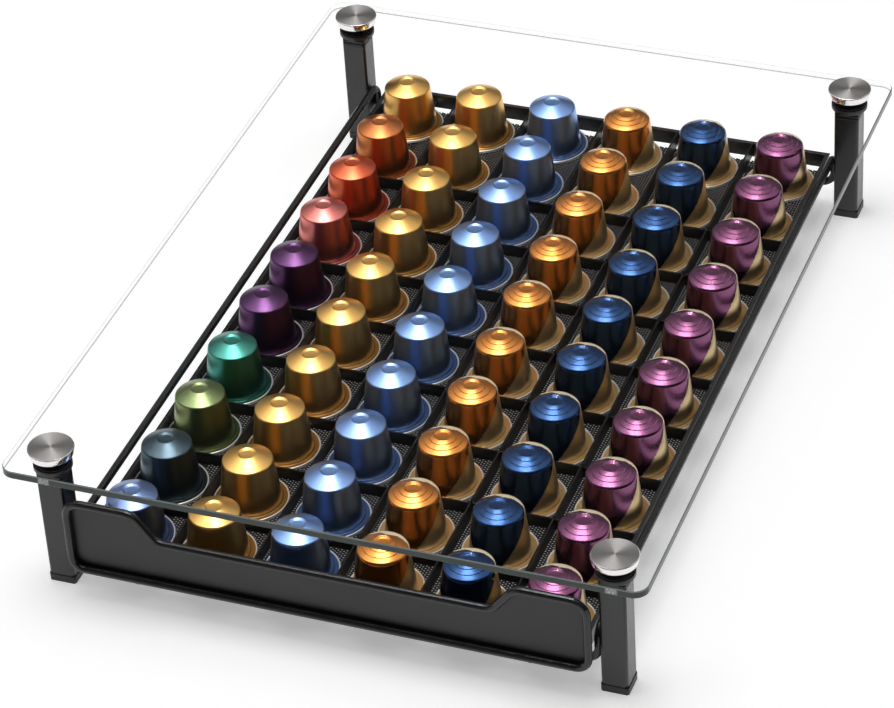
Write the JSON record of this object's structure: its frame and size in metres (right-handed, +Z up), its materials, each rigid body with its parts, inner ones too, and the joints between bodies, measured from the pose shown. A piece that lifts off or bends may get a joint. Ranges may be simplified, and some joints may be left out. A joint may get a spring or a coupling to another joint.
{
  "type": "coffee pod drawer",
  "caption": "Low coffee pod drawer: a divided steel tray of pods slides forward on a wire frame between square black posts, under a clear glass top with steel caps.",
  "frame": {"origin": "on the table, under the middle of the whole object", "axes": "+X to the right seen from the front, -Y towards the front, where the tray opens, +Z up"},
  "size_m": [0.314, 0.429, 0.0765],
  "materials": {
    "cap_steel": "spun brushed steel with a polished edge",
    "black_plastic": "black moulded plastic, slight sheen",
    "post_coat": "satin black powder coat",
    "foot_plastic": "matte black plastic",
    "clear_glass": "clear tempered glass with polished green-grey edges",
    "washer_rubber": "black rubber",
    "stud_steel": "plain zinc-plated thread",
    "wire_coat": "gloss black powder coat",
    "panel_coat": "fine satin black powder coat",
    "rim_coat": "semi-gloss black powder coat",
    "tray_coat": "semi-gloss black powder coat",
    "mesh_coat": "black powder coat over fine mesh",
    "gold_aluminium": "satin anodised gold",
    "blue_aluminium": "satin anodised blue",
    "indigo_aluminium": "satin anodised blue-violet",
    "slate_aluminium": "satin anodised dark slate",
    "olive_aluminium": "satin anodised olive green",
    "green_aluminium": "satin anodised teal green",
    "violet_aluminium": "satin anodised violet",
    "pink_aluminium": "satin anodised pink",
    "red_aluminium": "satin anodised coral red",
    "copper_aluminium": "satin anodised copper brown",
    "orange_gold_aluminium": "anodised copper orange over gold",
    "navy_gold_aluminium": "anodised navy blue over gold",
    "purple_gold_aluminium": "anodised purple over gold",
    "silver_foil": "bright foil"
  },
  "bodies": {
    "stand": {"glass_top": "clear_glass", "front_left_cap": "cap_steel", "front_right_cap": "cap_steel", "back_left_cap": "cap_steel", "back_right_cap": "cap_steel", "upper_washers": "washer_rubber", "lower_washers": "washer_rubber", "studs": "stud_steel", "front_left_plug": "black_plastic", "front_right_plug": "black_plastic", "back_left_plug": "black_plastic", "back_right_plug": "black_plastic", "front_left_post": "post_coat", "front_right_post": "post_coat", "back_left_post": "post_coat", "back_right_post": "post_coat", "front_left_foot": "foot_plastic", "front_right_foot": "foot_plastic", "back_left_foot": "foot_plastic", "back_right_foot": "foot_plastic", "left_rail": "wire_coat", "right_rail": "wire_coat", "front_cross_wire": "wire_coat", "back_cross_wire": "wire_coat", "left_glide_wire": "wire_coat", "right_glide_wire": "wire_coat"},
    "tray": {"front_panel": "panel_coat", "panel_rim_wire": "rim_coat", "left_wall": "tray_coat", "right_wall": "tray_coat", "back_wall": "tray_coat", "floor_grille": "mesh_coat", "column_dividers": "tray_coat", "row_dividers": "tray_coat", "gold_pods": "gold_aluminium", "blue_pods": "blue_aluminium", "indigo_pod": "indigo_aluminium", "slate_pod": "slate_aluminium", "olive_pod": "olive_aluminium", "green_pod": "green_aluminium", "violet_pods": "violet_aluminium", "pink_pod": "pink_aluminium", "red_pod": "red_aluminium", "copper_pod": "copper_aluminium", "orange_gold_pods": "orange_gold_aluminium", "navy_gold_pods": "navy_gold_aluminium", "purple_gold_pods": "purple_gold_aluminium", "pod_foils": "silver_foil"}
  },
  "joints": [
    {"name": "tray_slide", "type": "slide", "parent": "stand", "child": "tray", "axis": [0, -1, 0], "range_m": [0, 0.3]}
  ]
}
